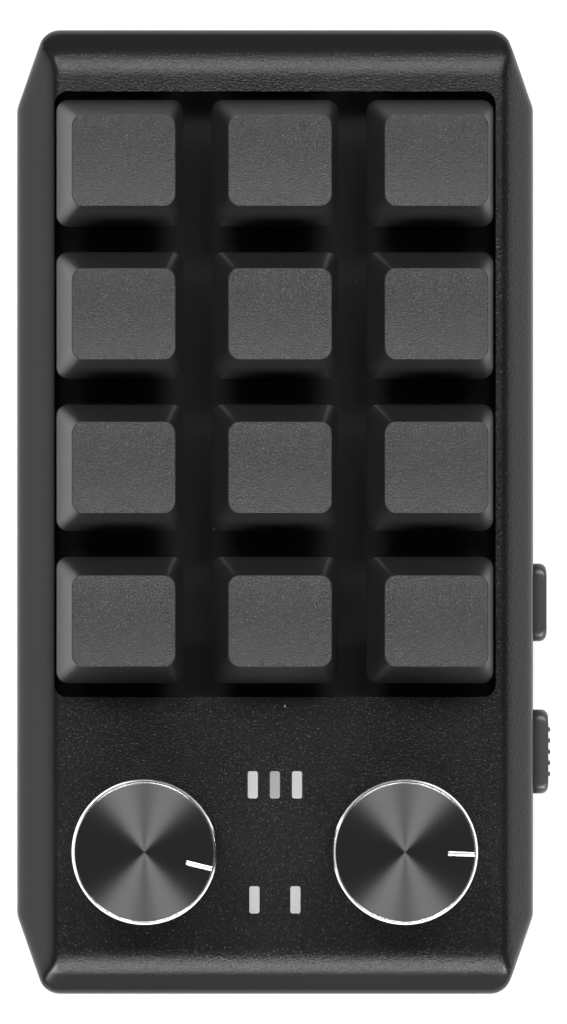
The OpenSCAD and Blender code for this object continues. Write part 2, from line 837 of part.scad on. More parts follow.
module encoder_shaft(s) {
    round_z = board_top + rotor_rise + rotor_h + knob_travel + slide_gap;
    shaft_top = knob_z + knob_socket - air_gap;
    key_z = knob_z + knob_skirt;
    color([0.8, 0.8, 0.82])
    place() at_knob(s) {
        translate([0, 0, board_top + shaft_rise])
            linear_extrude(round_z - board_top - shaft_rise + cut) double_flat(shaft_d, shaft_flat);
        translate([0, 0, round_z]) cylinder(d = shaft_d, h = key_z - round_z);
        // The end that the knob fits is flat on one side
        translate([0, 0, key_z - cut]) linear_extrude(shaft_top - key_z + cut) one_flat(shaft_d, shaft_flat);
    }
}

module one_flat(d, flat) {
    intersection() {
        circle(d = d);
        translate([-d, -d]) square([2 * d, d + flat - d / 2]);
    }
}

// The knob's fluted outline
module flutes(n, r, depth) {
    polygon([
        for (i = [0:4 * n - 1])
            let (step = i % 4, rad = step < 2 ? r : r - depth, a = (i + (step % 2 == 0 ? 1 : -1) * flute_slope) * 90 / n)
            rad * [cos(a), sin(a)]
    ]);
}

module knob(s) {
    r = knob_d / 2;
    face_r = r - knob_bevel;
    color([0.08, 0.08, 0.085])
    place() at_knob(s)
        translate([0, 0, knob_z])
            difference() {
                union() {
                    linear_extrude(knob_h - knob_cap_t + lap) flutes(knob_flutes, r - flute_inset, flute_depth);
                    // The face lies a little lower than its bright bevelled rim
                    translate([0, 0, knob_h - knob_cap_t])
                        rotate_extrude()
                            polygon([
                                [0, 0], [r, 0], [r, knob_cap_t - knob_bevel], [face_r, knob_cap_t],
                                [face_r - knob_chamfer, knob_cap_t - knob_sink], [0, knob_cap_t - knob_sink]
                            ]);
                }
                // Underneath it is hollow round the hub
                translate([0, 0, -cut])
                    linear_extrude(knob_h - knob_roof + cut)
                        difference() {
                            circle(r - knob_wall);
                            circle(d = knob_hub_d);
                        }
                translate([0, 0, -cut]) cylinder(d = shaft_d + 2 * fit_gap, h = knob_skirt + cut);
                translate([0, 0, knob_skirt - lap])
                    linear_extrude(knob_socket - knob_skirt + lap) one_flat(shaft_d + 2 * fit_gap, shaft_flat + 2 * fit_gap);
                // The pointer line runs out through the rim
                translate([r - pointer_l, -pointer_w / 2, knob_h - pointer_depth]) cube([pointer_l + cut, pointer_w, cut]);
            }
}

// ---------- Side controls ----------

module side_button() {
    face = case_w / 2 + button_out;
    color([0.07, 0.07, 0.075])
    place() {
        wall_bar(button_y, button_l, control_h, flange_x1 - lap, face - control_edge - lap, control_r);
        wall_bar(button_y, button_l - 2 * control_edge, control_h - 2 * control_edge,
            face - control_edge - 2 * lap, face, control_r - control_edge);
        wall_bar(button_y, button_l + 2 * flange_grow, control_h + 2 * flange_grow, flange_x0, flange_x1, control_r);
        wall_bar(button_y, reach_l, reach_h, reach_x, flange_x0 + lap, control_r - control_edge);
    }
}

module button_plunger() {
    color([0.2, 0.2, 0.2])
    place() wall_bar(button_y, plunger_w, lever_h, reach_x - plunger_l, reach_x, lever_r);
}

module button_switch() {
    color([0.15, 0.15, 0.15])
    place() difference() {
        translate([switch_x0, foot_end + button_y - switch_l / 2, board_top])
            cube([switch_x1 - switch_x0, switch_l, control_h]);
        wall_bar(button_y, plunger_w + 2 * slide_gap, lever_h + 2 * slide_gap,
            reach_x - plunger_l - button_travel - slide_gap, switch_x1 + cut, lever_r + slide_gap);
    }
}

module power_slider() {
    face = case_w / 2 + slider_out;
    color([0.07, 0.07, 0.075])
    place() {
        wall_bar(slider_y, slider_l, control_h, flange_x1 - lap, face - control_edge, control_r);
        wall_bar(slider_y, slider_l - 2 * control_edge, control_h - 2 * control_edge,
            face - control_edge - lap, face, control_r - control_edge);
        for (i = [0:slider_ribs - 1])
            wall_bar(slider_y + (i - (slider_ribs - 1) / 2) * rib_pitch, rib_t, control_h - 2 * control_edge,
                face - lap, face + rib_out, small_r);
        wall_bar(slider_y, slider_cover, control_h + 2 * flange_grow, flange_x0, flange_x1, control_r);
        // A fork holds the switch's lever
        for (s = [-1, 1])
            wall_bar(slider_y + s * (lever_w + fork_w + slide_gap) / 2, fork_w, fork_h,
                reach_x - fork_reach, flange_x0 + lap, lever_r);
    }
}

module slide_lever() {
    color([0.2, 0.2, 0.2])
    place() wall_bar(slider_y, lever_w, lever_h, slide_switch_x1 - lever_in, reach_x + lever_out, small_r);
}

module slide_switch() {
    color([0.7, 0.7, 0.72])
    place() difference() {
        translate([slide_switch_x0, foot_end + slider_slot_y - slide_switch_l / 2, board_top])
            cube([slide_switch_x1 - slide_switch_x0, slide_switch_l, control_h]);
        wall_bar(slider_slot_y, lever_w + slider_travel + 2 * slide_gap, lever_h + 2 * slide_gap,
            slide_switch_x1 - lever_in - air_gap, slide_switch_x1 + cut, lever_r);
    }
}

// ---------- The nodes ----------

bottom_shell();
top_shell();
switch_plate();
circuit_board();
battery();
charging_port();
light_pipes();
rubber_feet();
case_screws();
key_springs();
side_button();
button_plunger();
button_switch();
power_slider();
slide_lever();
slide_switch();
for (s = SIDES) {
    encoder_body(s);
    encoder_rotor(s);
    encoder_shaft(s);
    knob(s);
}
for (k = KEYS) {
    keycap(k);
    key_stem(k);
    switch_housing(k);
}
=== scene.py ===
"""A desk keypad from straight above: sprung keys in a sunken pocket, two spun knobs, light windows."""
import math

import bmesh
import bpy
import numpy as np
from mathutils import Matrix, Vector


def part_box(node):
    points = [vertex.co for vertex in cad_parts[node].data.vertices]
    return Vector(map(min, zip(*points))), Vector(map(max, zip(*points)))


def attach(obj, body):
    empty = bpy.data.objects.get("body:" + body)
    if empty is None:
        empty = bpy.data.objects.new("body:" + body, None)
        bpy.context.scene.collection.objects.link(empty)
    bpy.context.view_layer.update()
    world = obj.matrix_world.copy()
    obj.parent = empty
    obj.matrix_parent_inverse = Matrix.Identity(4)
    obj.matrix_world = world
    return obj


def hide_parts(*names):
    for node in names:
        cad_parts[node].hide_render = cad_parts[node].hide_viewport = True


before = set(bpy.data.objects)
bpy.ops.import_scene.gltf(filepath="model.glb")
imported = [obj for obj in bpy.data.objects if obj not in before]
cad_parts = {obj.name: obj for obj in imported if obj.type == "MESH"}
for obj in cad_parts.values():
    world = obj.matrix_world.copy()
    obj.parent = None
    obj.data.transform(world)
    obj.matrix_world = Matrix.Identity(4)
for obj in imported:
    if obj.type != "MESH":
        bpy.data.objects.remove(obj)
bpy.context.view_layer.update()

MM = 0.001
WELD_GAP = 0.000002     # corners closer than this are one corner, in metres
FLAT_ANGLE = 0.6        # faces that differ by fewer degrees are one flat face
ROWS, COLUMNS = 4, 3
KEYS = [f"r{r}c{c}" for r in range(1, ROWS + 1) for c in range(1, COLUMNS + 1)]
SIDES = ("left", "right")

# The keycaps, in millimetres
CAP_W = 17.7            # outside width at the rim
CAP_TOP_X = 14.5        # length of the top face
CAP_TOP_Y = 12.7        # width of the top face
CAP_H = 9.0             # rim to top
CAP_LEAN = 0.73         # the top face lies off centre
CAP_RIM = 1.0           # upright band at the rim
CAP_R = 1.6             # corner radius
CAP_WALL = 1.3
CAP_ROOF = 2.6
CAP_DISH_R = 28.0
CAP_EDGE_R = 0.2        # the moulded edge round the top face
SOCKET_D = 5.4
SOCKET_Z = 0.8
SOCKET_DEPTH = 3.6
SOCKET_STEPS = 32
CROSS_L = 4.04
CROSS_W = 1.24

# The case, in millimetres
CASE_X = -1.2           # the middle of the case, beside the side controls
CASE_W = 72.86
CASE_L = 135.7
DECK_Z = 22.6
CORNER_X, CORNER_Y = 4.1, 11.0
CORNER_R = 3.0
FLANK_DROP = 4.9
FLANKS = ((-1, 30.75, 4.9), (1, 32.1, 4.4))    # side, edge of the deck, width
ROLL_Y = 61.0           # axis of the rolled ends
ROLL_R = 6.2
ROLL_SLOPE = 37.0       # degrees at which the roll goes over into a slope down to the rim
DECK_SOFT = 0.38        # how softly the deck goes over into the flanks
RIM_SOFT = 0.32         # and the flanks and the ends into the walls
HEART_X, HEART_Y, HEART_Z = 28.0, 57.0, 12.0    # the core from which the skin is pressed out
SKIN_STEP = 0.42        # between two cuts in the skin
SKIN_DEPTH = 1.4        # the solid's skin lies no further than this from the form
SKIN_STARTS = 4.0       # how far inside the cut corners the fine cuts begin
CUT_GAP = 0.00002       # corners this close to a cut lie on it, in metres
PRESS_FROM, PRESS_TO, PRESS_ROUNDS = 0.6, 1.4, 30    # shares of the way out, and halvings
POCKET_EDGE_R, POCKET_EDGE_ANGLE = 0.3, 50.0

# The controls on the wall, in millimetres
CONTROL_X = 33.3        # inner end of their blocks
CONTROL_Z = 12.9
CONTROL_H = 3.4
CONTROL_CORNER = 1.0    # radius of their outer corners, seen from above
CONTROL_EDGE = 0.35     # radius of their outer edge
CONTROL_DEPTHS = (CONTROL_CORNER, 0.8, 0.6, 0.45, 0.3, 0.2, 0.1, 0.04, 0.0)
BUTTON_L, BUTTON_FACE = 11.0, 37.2
SLIDER_L, SLIDER_FACE = 11.9, 37.45
RIBS, RIB_PITCH, RIB_W, RIB_OUT = 5, 1.57, 0.6, 0.25
RIB_INSET = 0.4         # the ribs end this far below and above the face

# The case's textured field, in millimetres: the deck and the ends; the right flank has less of it
FIELD_X = (-32.0, 31.1)
FIELD_FADE = 0.5
FLANK_X = 34.8
FLANK_FADE = 0.8
FLANK_SHARE = 0.7
FIELD_Y = 65.2
END_FADE = 1.0

# The moulded grain's painted glints: a paler colour is painted on bumps above this height, where they would
# catch the light, and how sharply that and its field end
PAINTED_GLINT_ABOVE, PAINTED_GLINT_STEEP = 0.13, 8.0
FACING_STEEP = 12.0
LEVEL_ENOUGH = 0.8      # dust settles on faces whose normal points up at least this much

# The middle one of the far light windows is a little dimmer, in millimetres
DIM_WINDOW_X = (-2.6, 0.2)
DIM_WINDOW_Y = (-42.0, -34.0)
DIM_FADE = 0.3

# The knobs, in millimetres
KNOB_R = 10.0
KNOB_H = 16.0
KNOB_BEVEL = 0.42
RIM_H = 0.5
KNOB_SINK = 0.1         # the spun face lies a little below the rim
KNOB_HEAD = 1.1         # the plain band above the flutes
KNOB_WALL = 1.7
KNOB_ROOF = 2.5
KNOB_HUB_R = 5.0
KNOB_BORE_R = 3.05
KNOB_BORE_H = 13.0
FLUTES = 72
FLUTE_WAVE = (0.0, 0.25, 0.85, 1.0, 0.85, 0.25)    # share of the depth round one flute
FLUTE_DEPTH = 0.25
FLUTE_INSET = 0.08
FACE_STEPS, RIM_STEPS = 128, 192
FACE_TURNS = 60         # rings of the spun face, from the rim to the centre
TOOL_MARK = 0.004       # every other one lies this much lower
POINTER_L = 4.1
POINTER_W = 0.56
POINTER_ANGLE = {"left": -14.0, "right": -2.0}

# How bright each lamp's face and each part of the room is; a white sheet in the open has 1
FAR_GLOW = 12.8
NEAR_GLOW = 15.2
LEFT_GLOW = 1.0
SIDE_GLOW = 0.8
END_GLOW = 0.12
ROOF_GLOW = 0.32
GLOW_HEIGHTS = (0.05, 0.75)    # the room's glow fades out between them; straight up is 1
SHEET_GLOW = 0.4
SHEET_COLOR = (0.68, 0.68, 0.68, 1)
FAR_SPREAD, NEAR_SPREAD = 26.0, 20.0    # degrees that the two lamps of each end stand to the sides
FAR_TILT, NEAR_TILT, LEFT_TILT = 38.0, 58.0, 80.0    # degrees off straight up
END_LAMP = (1.0, 0.44, 0.36)    # distance, width and length in metres
LEFT_LAMP = (1.1, 1.0, 0.4)
FLOOR_HALF = 3.0        # metres

# The camera: straight above, far away
CAMERA_H = 0.9
FOCAL_PX = 6267
FRAME_H_PX = 1024
SENSOR_H = 24


# ---------- Nodes and groups ----------

def shader_group(name, inputs, outputs):
    """An empty node group with named sockets, and its input and output nodes."""
    group = bpy.data.node_groups.new(name, "ShaderNodeTree")
    for label, kind, default in inputs:
        socket = group.interface.new_socket(label, in_out="INPUT", socket_type=kind)
        socket.default_value = default
    for label, kind in outputs:
        group.interface.new_socket(label, in_out="OUTPUT", socket_type=kind)
    return group, group.nodes.new("NodeGroupInput"), group.nodes.new("NodeGroupOutput")


def math_node(tree, operation, a, b=0.0):
    """One step of arithmetic: a and b are numbers or sockets."""
    node = tree.nodes.new("ShaderNodeMath")
    node.operation = operation
    for socket, value in zip(node.inputs, (a, b)):
        if isinstance(value, (int, float)):
            socket.default_value = value
        else:
            tree.links.new(value, socket)
    return node.outputs[0]


def mix_colors(tree, factor, a, b):
    """A colour between a and b: each is a colour or a socket."""
    node = tree.nodes.new("ShaderNodeMix")
    node.data_type = "RGBA"
    for key, value in ((0, factor), (6, a), (7, b)):
        if isinstance(value, (int, float, tuple)):
            node.inputs[key].default_value = value
        else:
            tree.links.new(value, node.inputs[key])
    return node.outputs[2]


def grain_and_painted_glint():
    """The fine spark-eroded texture of the mould: a height, and a mask for its painted glints, a paler
    colour painted where a spot would catch the light.
    """
    group, given, made = shader_group(
        "grain_and_painted_glint",
        [("Grains per metre", "NodeSocketFloat", 3000.0), ("Coarseness", "NodeSocketFloat", 0.5),
         ("Least upward", "NodeSocketFloat", -2.0)],
        [("Height", "NodeSocketFloat"), ("Painted glint", "NodeSocketFloat")],
    )
    place = group.nodes.new("ShaderNodeTexCoord")
    fine = group.nodes.new("ShaderNodeTexNoise")
    fine.inputs["Detail"].default_value = 2.0
    group.links.new(place.outputs["Object"], fine.inputs["Vector"])
    group.links.new(given.outputs["Grains per metre"], fine.inputs["Scale"])
    group.links.new(given.outputs["Coarseness"], fine.inputs["Roughness"])
    facing = group.nodes.new("ShaderNodeNewGeometry")
    up = group.nodes.new("ShaderNodeSeparateXYZ")
    group.links.new(facing.outputs["Normal"], up.inputs[0])
    past = math_node(group, "SUBTRACT", up.outputs[2], given.outputs["Least upward"])
    field = group.nodes.new("ShaderNodeClamp")
    group.links.new(math_node(group, "MULTIPLY", past, FACING_STEEP), field.inputs["Value"])
    bumps = math_node(group, "SUBTRACT", fine.outputs["Fac"], 0.5)
    group.links.new(math_node(group, "MULTIPLY", bumps, field.outputs[0]), made.inputs["Height"])
    # Painted glint: the grain's peaks get a mask for a paler colour that stands in for the light they catch
    painted_glint = group.nodes.new("ShaderNodeClamp")
    peaks = math_node(group, "SUBTRACT", bumps, PAINTED_GLINT_ABOVE)
    group.links.new(math_node(group, "MULTIPLY", peaks, PAINTED_GLINT_STEEP), painted_glint.inputs["Value"])
    group.links.new(math_node(group, "MULTIPLY", painted_glint.outputs[0], field.outputs[0]), made.inputs["Painted glint"])
    return group


def within():
    """1 between two places along an axis, fading to 0 outside."""
    group, given, made = shader_group(
        "within",
        [("Place", "NodeSocketFloat", 0.0), ("From", "NodeSocketFloat", -1.0),
         ("To", "NodeSocketFloat", 1.0), ("Fade", "NodeSocketFloat", 0.001)],
        [("Mask", "NodeSocketFloat")],
    )
    sides = []
    for a, b in (("Place", "From"), ("To", "Place")):
        depth = math_node(group, "SUBTRACT", given.outputs[a], given.outputs[b])
        share = math_node(group, "DIVIDE", depth, given.outputs["Fade"])
        side = group.nodes.new("ShaderNodeClamp")
        group.links.new(share, side.inputs["Value"])
        sides.append(side.outputs[0])
    group.links.new(math_node(group, "MULTIPLY", *sides), made.inputs["Mask"])
    return group


def dust_specks():
    """Sparse pale specks that have settled on the upward faces."""
    group, given, made = shader_group(
        "dust_specks",
        [("Specks per metre", "NodeSocketFloat", 400.0), ("Size", "NodeSocketFloat", 0.05),
         ("Share", "NodeSocketFloat", 0.2)],
        [("Mask", "NodeSocketFloat")],
    )
    place = group.nodes.new("ShaderNodeTexCoord")
    cells = group.nodes.new("ShaderNodeTexVoronoi")
    group.links.new(place.outputs["Object"], cells.inputs["Vector"])
    group.links.new(given.outputs["Specks per metre"], cells.inputs["Scale"])
    inside = math_node(group, "LESS_THAN", cells.outputs["Distance"], given.outputs["Size"])
    pick = group.nodes.new("ShaderNodeSeparateColor")
    group.links.new(cells.outputs["Color"], pick.inputs[0])
    chosen = math_node(group, "LESS_THAN", pick.outputs[0], given.outputs["Share"])
    facing = group.nodes.new("ShaderNodeNewGeometry")
    up = group.nodes.new("ShaderNodeSeparateXYZ")
    group.links.new(facing.outputs["Normal"], up.inputs[0])
    level = math_node(group, "GREATER_THAN", up.outputs[2], LEVEL_ENOUGH)
    mask = math_node(group, "MULTIPLY", math_node(group, "MULTIPLY", inside, chosen), level)
    group.links.new(mask, made.inputs["Mask"])
    return group


def handling_sheen():
    """Slow, faint changes in gloss, as hands and a cloth leave them."""
    group, given, made = shader_group(
        "handling_sheen",
        [("Patches per metre", "NodeSocketFloat", 60.0), ("Roughness", "NodeSocketFloat", 0.5),
         ("Change", "NodeSocketFloat", 0.06)],
        [("Roughness", "NodeSocketFloat")],
    )
    place = group.nodes.new("ShaderNodeTexCoord")
    patches = group.nodes.new("ShaderNodeTexNoise")
    patches.inputs["Detail"].default_value = 4.0
    group.links.new(place.outputs["Object"], patches.inputs["Vector"])
    group.links.new(given.outputs["Patches per metre"], patches.inputs["Scale"])
    offset = math_node(group, "SUBTRACT", patches.outputs["Fac"], 0.5)
    swing = math_node(group, "MULTIPLY", offset, given.outputs["Change"])
    group.links.new(math_node(group, "ADD", given.outputs["Roughness"], swing), made.inputs["Roughness"])
    return group


GRAIN_AND_PAINTED_GLINT = grain_and_painted_glint()
WITHIN = within()
SPECKS = dust_specks()
SHEEN = handling_sheen()


class Finish:
    """A material being made: its tree, its Principled shader, and the shared effects placed in it."""

    def __init__(self, name, color, roughness, metallic=0.0):
        self.material = bpy.data.materials.new(name)
        self.material.use_nodes = True
        self.tree = self.material.node_tree
        self.shader = self.tree.nodes["Principled BSDF"]
        self.color = (*color, 1.0)
        self.set("Base Color", self.color)
        self.set("Roughness", roughness)
        self.set("Metallic", metallic)
        self.roughness = roughness

    def set(self, socket, value):
        self.shader.inputs[socket].default_value = value

    def link(self, output, socket):
        self.tree.links.new(output, self.shader.inputs[socket])

    def effect(self, group, **values):
        node = self.tree.nodes.new("ShaderNodeGroup")
        node.node_tree = group
        for label, value in values.items():
            node.inputs[label.replace("_", " ")].default_value = value
        return node

    def grain(self, per_metre, depth, coarseness=0.5, least_upward=-2.0, field=1.0):
        """A bumpy surface, and the mask of its painted glints, which it returns: least_upward keeps it to
        faces that look up, and field is a mask for it.
        """
        node = self.effect(
            GRAIN_AND_PAINTED_GLINT, Grains_per_metre=per_metre, Coarseness=coarseness, Least_upward=least_upward)
        bump = self.tree.nodes.new("ShaderNodeBump")
        bump.inputs["Distance"].default_value = depth
        height = math_node(self.tree, "MULTIPLY", node.outputs["Height"], field)
        self.tree.links.new(height, bump.inputs["Height"])
        self.link(bump.outputs[0], "Normal")
        # The mask of painted glints, a paler colour standing in for light caught by the grain
        return math_node(self.tree, "MULTIPLY", node.outputs["Painted glint"], field)

    def place(self):
        """The three coordinates of the point, in the object's own frame."""
        place = self.tree.nodes.new("ShaderNodeTexCoord")
        split = self.tree.nodes.new("ShaderNodeSeparateXYZ")
        self.tree.links.new(place.outputs["Object"], split.inputs[0])
        return split.outputs

    def band(self, place, low, high, fade):
        """A mask between two places along one axis, in millimetres."""
        node = self.effect(WITHIN, From=low * MM, To=high * MM, Fade=fade * MM)
        self.tree.links.new(place, node.inputs["Place"])
        return node.outputs["Mask"]

    def tint(self, mask, color):
        """Mixes a colour over what is there so far, where the mask is."""
        links = self.shader.inputs["Base Color"].links
        under = links[0].from_socket if links else self.color
        self.link(mix_colors(self.tree, mask, under, (*color, 1.0)), "Base Color")

    def worn(self, per_metre=60.0, change=0.08):
        node = self.effect(SHEEN, Patches_per_metre=per_metre, Change=change, Roughness=self.roughness)
        self.link(node.outputs["Roughness"], "Roughness")

    def dusty(self, per_metre=350.0, size=0.05, share=0.15, color=(0.25, 0.25, 0.25)):
        specks = self.effect(SPECKS, Specks_per_metre=per_metre, Size=size, Share=share)
        self.tint(specks.outputs["Mask"], color)


# ---------- Materials ----------

def case_plastic():
    """Black moulded case: textured on the deck and the rounded ends, with painted glints on the texture,
    smooth on the left flank.
    """
    finish = Finish("case_textured_black", (0.009, 0.009, 0.0094), 0.26)
    finish.set("Specular IOR Level", 0.34)
    x, y, _ = finish.place()
    deck = finish.band(x, *FIELD_X, FIELD_FADE)
    flank = finish.band(x, FIELD_X[1] - FIELD_FADE, FLANK_X, FLANK_FADE)
    across = math_node(finish.tree, "MAXIMUM", deck, math_node(finish.tree, "MULTIPLY", flank, FLANK_SHARE))
    field = math_node(finish.tree, "MULTIPLY", across, finish.band(y, -FIELD_Y, FIELD_Y, END_FADE))
    painted_glint = finish.grain(3800.0, 0.00009, 0.6, field=field)
    # Painted glints: a paler colour painted on the grain's peaks within the textured field
    finish.tint(painted_glint, (0.07, 0.07, 0.071))
    finish.worn(45.0, 0.04)
    finish.dusty(220.0, 0.04, 0.25)
    return finish.material


def plate_gloss():
    finish = Finish("switch_plate_gloss_black", (0.022, 0.022, 0.022), 0.16)
    finish.worn(120.0, 0.06)
    finish.dusty(300.0, 0.05, 0.2)
    return finish.material


def cap_plastic():
    """Keycaps: a matte grain with painted glints on the top faces, smooth slopes."""
    finish = Finish("keycap_matte_black", (0.015, 0.015, 0.0154), 0.38)
    painted_glint = finish.grain(4300.0, 0.00014, 0.6, least_upward=0.86)
    # Painted glints: a paler colour painted on the grain's peaks on the top faces
    finish.tint(painted_glint, (0.1, 0.1, 0.101))
    finish.worn(70.0, 0.06)
    finish.dusty(260.0, 0.035, 0.12, (0.2, 0.2, 0.2))
    return finish.material


def spun_metal():
    """Black anodised face, turned on a lathe: it is brushed round its centre."""
    finish = Finish("knob_spun_black", (0.17, 0.17, 0.174), 0.3, 0.95)
    finish.set("Anisotropic", 0.9)
    finish.set("Anisotropic Rotation", 0.25)
    tangent = finish.tree.nodes.new("ShaderNodeTangent")
    tangent.direction_type = "RADIAL"
    tangent.axis = "Z"
    finish.link(tangent.outputs[0], "Tangent")
    return finish.material


def knurled_metal():
    finish = Finish("knob_anodised_black", (0.03, 0.03, 0.032), 0.35, 1.0)
    finish.worn(200.0, 0.1)
    return finish.material


def bright_metal(name, color=(0.9, 0.9, 0.91), roughness=0.16):
    finish = Finish(name, color, roughness, 1.0)
    finish.worn(300.0, 0.08)
    return finish.material


def frosted_window():
    finish = Finish("light_window_frosted", (0.39, 0.39, 0.39), 0.4)
    x, y, _ = finish.place()
    across = finish.band(x, *DIM_WINDOW_X, DIM_FADE)
    along = finish.band(y, *DIM_WINDOW_Y, DIM_FADE)
    finish.tint(math_node(finish.tree, "MULTIPLY", across, along), (0.25, 0.25, 0.25))
    finish.set("Subsurface Weight", 0.3)
    finish.set("Subsurface Scale", 0.001)
    finish.worn(400.0, 0.1)
    return finish.material


def plain_plastic(name, color, roughness=0.45, per_metre=2600.0):
    finish = Finish(name, color, roughness)
    finish.grain(per_metre, 0.000008)
    finish.worn()
    return finish.material


def paper_floor():
    """A pale sheet that looks white to the camera and in reflections, and keeps the soft shadow."""
    material = bpy.data.materials.new("white_sheet")
    material.use_nodes = True
    tree = material.node_tree
    tree.nodes.clear()
    out = tree.nodes.new("ShaderNodeOutputMaterial")
    sheet = tree.nodes.new("ShaderNodeBsdfDiffuse")
    sheet.inputs["Color"].default_value = SHEET_COLOR
    glow = tree.nodes.new("ShaderNodeEmission")
    glow.inputs["Color"].default_value = (1, 1, 1, 1)
    path = tree.nodes.new("ShaderNodeLightPath")
    straight = math_node(tree, "ADD", path.outputs["Is Camera Ray"], path.outputs["Is Glossy Ray"])
    shown = math_node(tree, "ADD", straight, path.outputs["Is Transmission Ray"])
    tree.links.new(math_node(tree, "MULTIPLY", shown, SHEET_GLOW), glow.inputs["Strength"])
    both = tree.nodes.new("ShaderNodeAddShader")
    tree.links.new(sheet.outputs[0], both.inputs[0])
    tree.links.new(glow.outputs[0], both.inputs[1])
    tree.links.new(both.outputs[0], out.inputs["Surface"])
    return material


CASE = case_plastic()
PLATE = plate_gloss()
CAP = cap_plastic()
SPUN = spun_metal()
KNURL = knurled_metal()
RIM = bright_metal("knob_cut_rim", (0.93, 0.93, 0.94), 0.22)
POINTER = bright_metal("knob_pointer_line", (0.8, 0.8, 0.8), 0.3)
STEEL = bright_metal("drawn_steel", (0.7, 0.7, 0.7), 0.25)
SHAFT = bright_metal("turned_shaft", (0.75, 0.75, 0.76), 0.22)
DIECAST = bright_metal("encoder_diecast", (0.6, 0.6, 0.62), 0.4)
PORT = bright_metal("port_plated_shell", (0.75, 0.75, 0.76), 0.2)
FOIL = bright_metal("battery_foil", (0.6, 0.62, 0.64), 0.35)
CAN = bright_metal("switch_plated_can", (0.7, 0.7, 0.7), 0.3)
WINDOW = frosted_window()
CONTROL = plain_plastic("control_smooth_black", (0.045, 0.045, 0.046), 0.35)
HOUSING = plain_plastic("switch_housing_black", (0.03, 0.03, 0.03))
STEM = plain_plastic("stem_red", (0.35, 0.05, 0.04))
ROTOR = plain_plastic("rotor_white", (0.8, 0.8, 0.78))
BOARD = plain_plastic("board_green", (0.02, 0.12, 0.06), 0.35)
INNER = plain_plastic("switch_black", (0.05, 0.05, 0.05))
SCREW = bright_metal("screw_blackened", (0.08, 0.08, 0.08), 0.35)
RUBBER = plain_plastic("foot_rubber", (0.02, 0.02, 0.02), 0.8, 1500.0)

CAD_FINISH = {
    "top_shell": CASE, "bottom_shell": CASE, "switch_plate": PLATE, "circuit_board": BOARD, "battery": FOIL,
    "charging_port": PORT, "light_pipes": WINDOW, "rubber_feet": RUBBER, "case_screws": SCREW,
    "key_springs": STEEL, "side_button": CONTROL, "button_plunger": INNER, "button_switch": INNER,
    "power_slider": CONTROL, "slide_lever": INNER, "slide_switch": CAN,
    "encoder_body": DIECAST, "encoder_rotor": ROTOR, "encoder_shaft": SHAFT, "knob": KNURL,
    "keycap": CAP, "key_stem": STEM, "switch_housing": HOUSING,
}


# The moulded edges' radius in millimetres, and the smallest angle that counts as an edge
SOFT_EDGES = {
    "bottom_shell": (0.3, 25), "light_pipes": (0.1, 30), "rubber_feet": (0.2, 25),
}


def soften(piece, radius, angle):
    """Rounds the edges of a moulded piece, which has flat faces in the frame."""
    weld = piece.modifiers.new("join_corners", "WELD")
    weld.merge_threshold = WELD_GAP
    flat = piece.modifiers.new("whole_faces", "DECIMATE")
    flat.decimate_type = "DISSOLVE"
    flat.angle_limit = math.radians(FLAT_ANGLE)
    round_edges(piece, radius, angle)


def round_edges(piece, radius, angle):
    edge = piece.modifiers.new("moulded_edges", "BEVEL")
    edge.width = radius * MM
    edge.segments = 4
    edge.limit_method = "ANGLE"
    edge.angle_limit = math.radians(angle)
    for face in piece.data.polygons:
        face.use_smooth = True
    even_shading(piece)


def even_shading(piece):
    """Large faces look flat, and the narrow ones between them take up the curve."""
    even = piece.modifiers.new("even_shading", "WEIGHTED_NORMAL")
    even.weight = 60
    even.keep_sharp = True


def dress_cad_nodes():
    """Every node of the frame gets its finish, whichever key or side it belongs to."""
    for name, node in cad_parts.items():
        kind = name
        for side in SIDES:
            kind = kind.removeprefix(side + "_")
        for key in KEYS:
            kind = kind.removesuffix("_" + key)
        node.data.materials.clear()
        node.data.materials.append(CAD_FINISH[kind])
        if kind in SOFT_EDGES:
            soften(node, *SOFT_EDGES[kind])


# ---------- Meshes ----------

def add_ring(bm, points):
    return [bm.verts.new(Vector(p) * MM) for p in points]


def turned_ring(bm, r, z, steps):
    """A ring round the upright axis, as a lathe turns it."""
    turns = [2 * math.pi * k / steps for k in range(steps)]
    return add_ring(bm, [(r * math.cos(a), r * math.sin(a), z) for a in turns])


def bridge(bm, low, high):
    """Quads between two rings of the same count."""
    n = len(low)
    for i in range(n):
        bm.faces.new((low[i], low[(i + 1) % n], high[(i + 1) % n], high[i]))


def stack(bm, rings):
    """Quads from each ring to the next."""
    for low, high in zip(rings, rings[1:]):
        bridge(bm, low, high)


def rounded_ring(half_x, half_y, r, z, lean=0.0, arc=6, side=6):
    """The points of a rounded rectangle, counter-clockwise; z is a height or a function of y."""
    points = []
    r = max(min(r, half_x - 0.01, half_y - 0.01), 0.02)
    corners = [(1, -1, -90), (1, 1, 0), (-1, 1, 90), (-1, -1, 180)]
    for i, (sx, sy, start) in enumerate(corners):
        cx, cy = sx * (half_x - r), sy * (half_y - r)
        for k in range(arc + 1):
            a = math.radians(start + 90 * k / arc)
            points.append((cx + r * math.cos(a), cy + r * math.sin(a)))
        nx, ny, nstart = corners[(i + 1) % 4]
        ex, ey = nx * (half_x - r), ny * (half_y - r)
        a = math.radians(nstart)
        end = (ex + r * math.cos(a), ey + r * math.sin(a))
        x0, y0 = points[-1]
        for k in range(1, side):
            t = k / side
            points.append((x0 + (end[0] - x0) * t, y0 + (end[1] - y0) * t))
    level = z if callable(z) else (lambda y: z)
    return [(x + lean, y, level(y)) for x, y in points]


